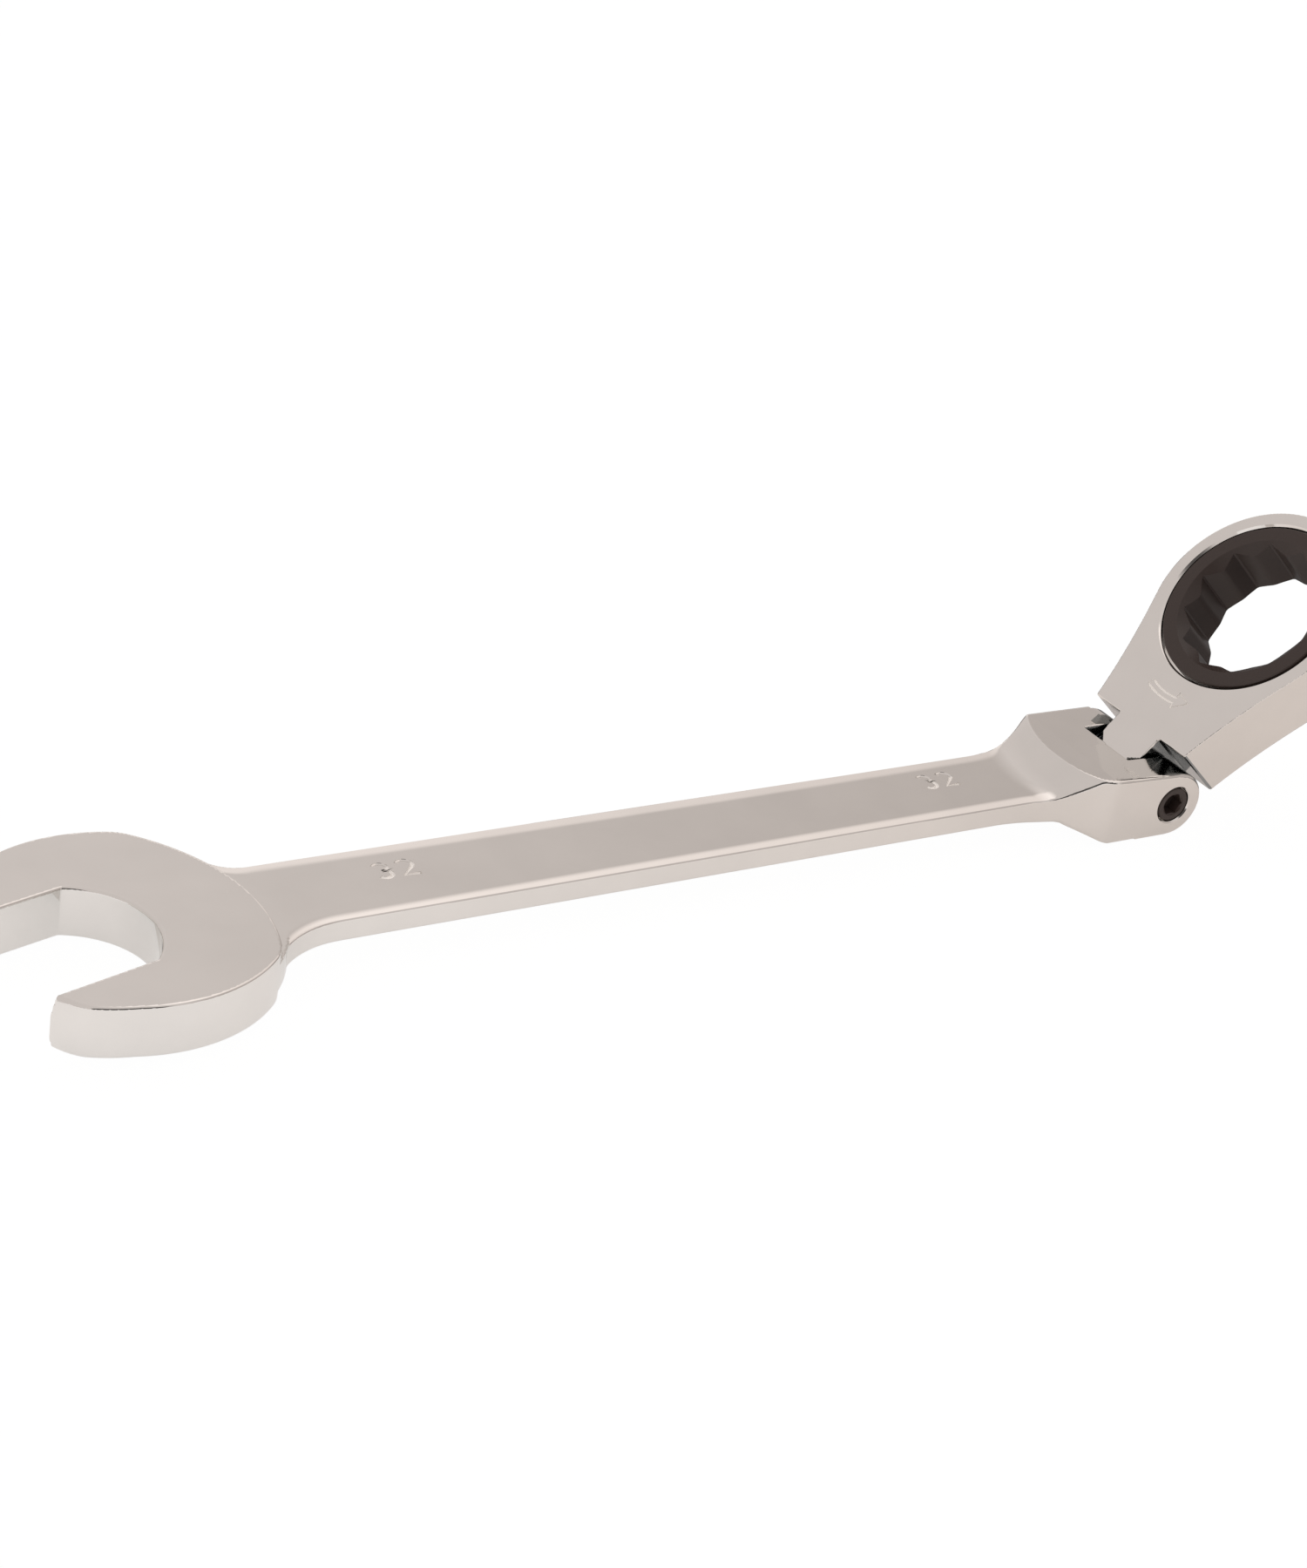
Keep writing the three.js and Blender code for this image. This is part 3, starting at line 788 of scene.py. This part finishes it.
def lit_floor():
    """White to the eye, as on a light table. What the chrome mirrors is painted shade: it dims
    towards the far right, with a slight tint.
    """
    material = bpy.data.materials.new("studio_floor")
    material.use_nodes = True
    nodes, links = material.node_tree.nodes, material.node_tree.links
    nodes.remove(nodes["Principled BSDF"])
    seen_matte, seen_light, seen = glowing(nodes, links)
    seen_matte.default_value = (0.05, 0.05, 0.05, 1)
    seen_light.default_value = (0.97, 0.97, 0.97, 1)

    spot = nodes.new("ShaderNodeNewGeometry")
    along = nodes.new("ShaderNodeVectorMath")
    along.operation = "DOT_PRODUCT"
    along.inputs[1].default_value = (2.4, 1.2, 0)
    fade = nodes.new("ShaderNodeMath")
    fade.inputs[1].default_value = 0.5
    links.new(spot.outputs["Position"], along.inputs[0])
    links.new(along.outputs["Value"], fade.inputs[0])
    # Painted shade for reflections only: the floor's glow and colour fall towards the far right,
    # where shade under the wrench would lie.
    matte, light, mirrored = glowing(nodes, links)
    links.new(ramp_of(nodes, links, fade.outputs["Value"], (
        (0.1, 0.67, (1, 1, 1)), (0.86, 0.62, (1, 0.94, 0.90)), (0.99, 0.20, (0.9, 0.95, 1)))),
        matte)
    links.new(ramp_of(nodes, links, fade.outputs["Value"], (
        (0.1, 0.51, (1, 1, 1)), (0.86, 0.39, (1, 0.94, 0.90)), (0.99, 0.05, (1, 0.95, 0.9)))),
        light)
    seen_or_mirrored(nodes, links, seen, mirrored, "Material Output")
    return material


def spot_of(nodes, links, direction, edge, core, level_inside):
    """A factor that is 1, and goes to its level inside within some degrees of a direction."""
    where = nodes.new("ShaderNodeTexCoord")
    towards = nodes.new("ShaderNodeVectorMath")
    towards.operation = "DOT_PRODUCT"
    towards.inputs[1].default_value = Vector(direction).normalized()
    level = nodes.new("ShaderNodeMapRange")
    level.interpolation_type = "SMOOTHSTEP"
    level.inputs["From Min"].default_value = math.cos(math.radians(edge))
    level.inputs["From Max"].default_value = math.cos(math.radians(core))
    level.inputs["To Min"].default_value = 1.0
    level.inputs["To Max"].default_value = level_inside
    links.new(where.outputs["Generated"], towards.inputs[0])
    links.new(towards.outputs["Value"], level.inputs["Value"])
    return level.outputs["Result"]


def studio_sky():
    """A pale warm tent with a softbox, a low window and a dark card. The eye sees it as white."""
    world = bpy.data.worlds.new("studio")
    bpy.context.scene.world = world
    world.use_nodes = True
    nodes, links = world.node_tree.nodes, world.node_tree.links
    where = nodes.new("ShaderNodeTexCoord")
    parts = nodes.new("ShaderNodeSeparateXYZ")
    links.new(where.outputs["Generated"], parts.inputs["Vector"])
    tent = ramp_of(nodes, links, parts.outputs["X"], (
        (0.0, 0.76, (1, 0.93, 0.90)), (0.3, 0.80, (1, 0.93, 0.90)), (0.65, 0.59, (1, 0.91, 0.865))))
    level = spot_of(nodes, links, (0.6, 0.2, 0.78), 30, 20, 1.65)
    window = spot_of(nodes, links, (0.5, 0.84, 0.2), 16, 12, 1.40)
    dark_card = spot_of(nodes, links, (-0.25, -0.93, 0.25), 32, 20, 0.12)
    for factor in (window, dark_card):
        product = nodes.new("ShaderNodeMath")
        product.operation = "MULTIPLY"
        links.new(level, product.inputs[0])
        links.new(factor, product.inputs[1])
        level = product.outputs["Value"]
    links.new(tent, nodes["Background"].inputs["Color"])
    links.new(level, nodes["Background"].inputs["Strength"])
    white = nodes.new("ShaderNodeBackground")
    white.inputs["Color"].default_value = (1, 1, 1, 1)
    seen_or_mirrored(nodes, links, white.outputs["Background"],
                     nodes["Background"].outputs["Background"], "World Output")


def make_camera():
    camera = bpy.data.objects.new("camera", bpy.data.cameras.new("camera"))
    bpy.context.scene.collection.objects.link(camera)
    camera.data.sensor_width = CAMERA_SENSOR
    camera.data.lens = CAMERA_LENS
    camera.data.clip_start, camera.data.clip_end = 0.01, 50
    turn = Euler([math.radians(degrees) for degrees in CAMERA_TURN])
    camera.matrix_world = (Matrix.Translation(PIVOT + MM * Vector(CAMERA_PLACE))
                           @ turn.to_matrix().to_4x4())
    bpy.context.scene.camera = camera
    bpy.context.scene.view_settings.view_transform = "Standard"


floor = raised("floor", [
    (-FLOOR_HALF, -FLOOR_HALF), (FLOOR_HALF, -FLOOR_HALF), (FLOOR_HALF, FLOOR_HALF),
    (-FLOOR_HALF, FLOOR_HALF)], -0.01, -0.0002)
floor.data.materials.append(lit_floor())
studio_sky()
make_camera()
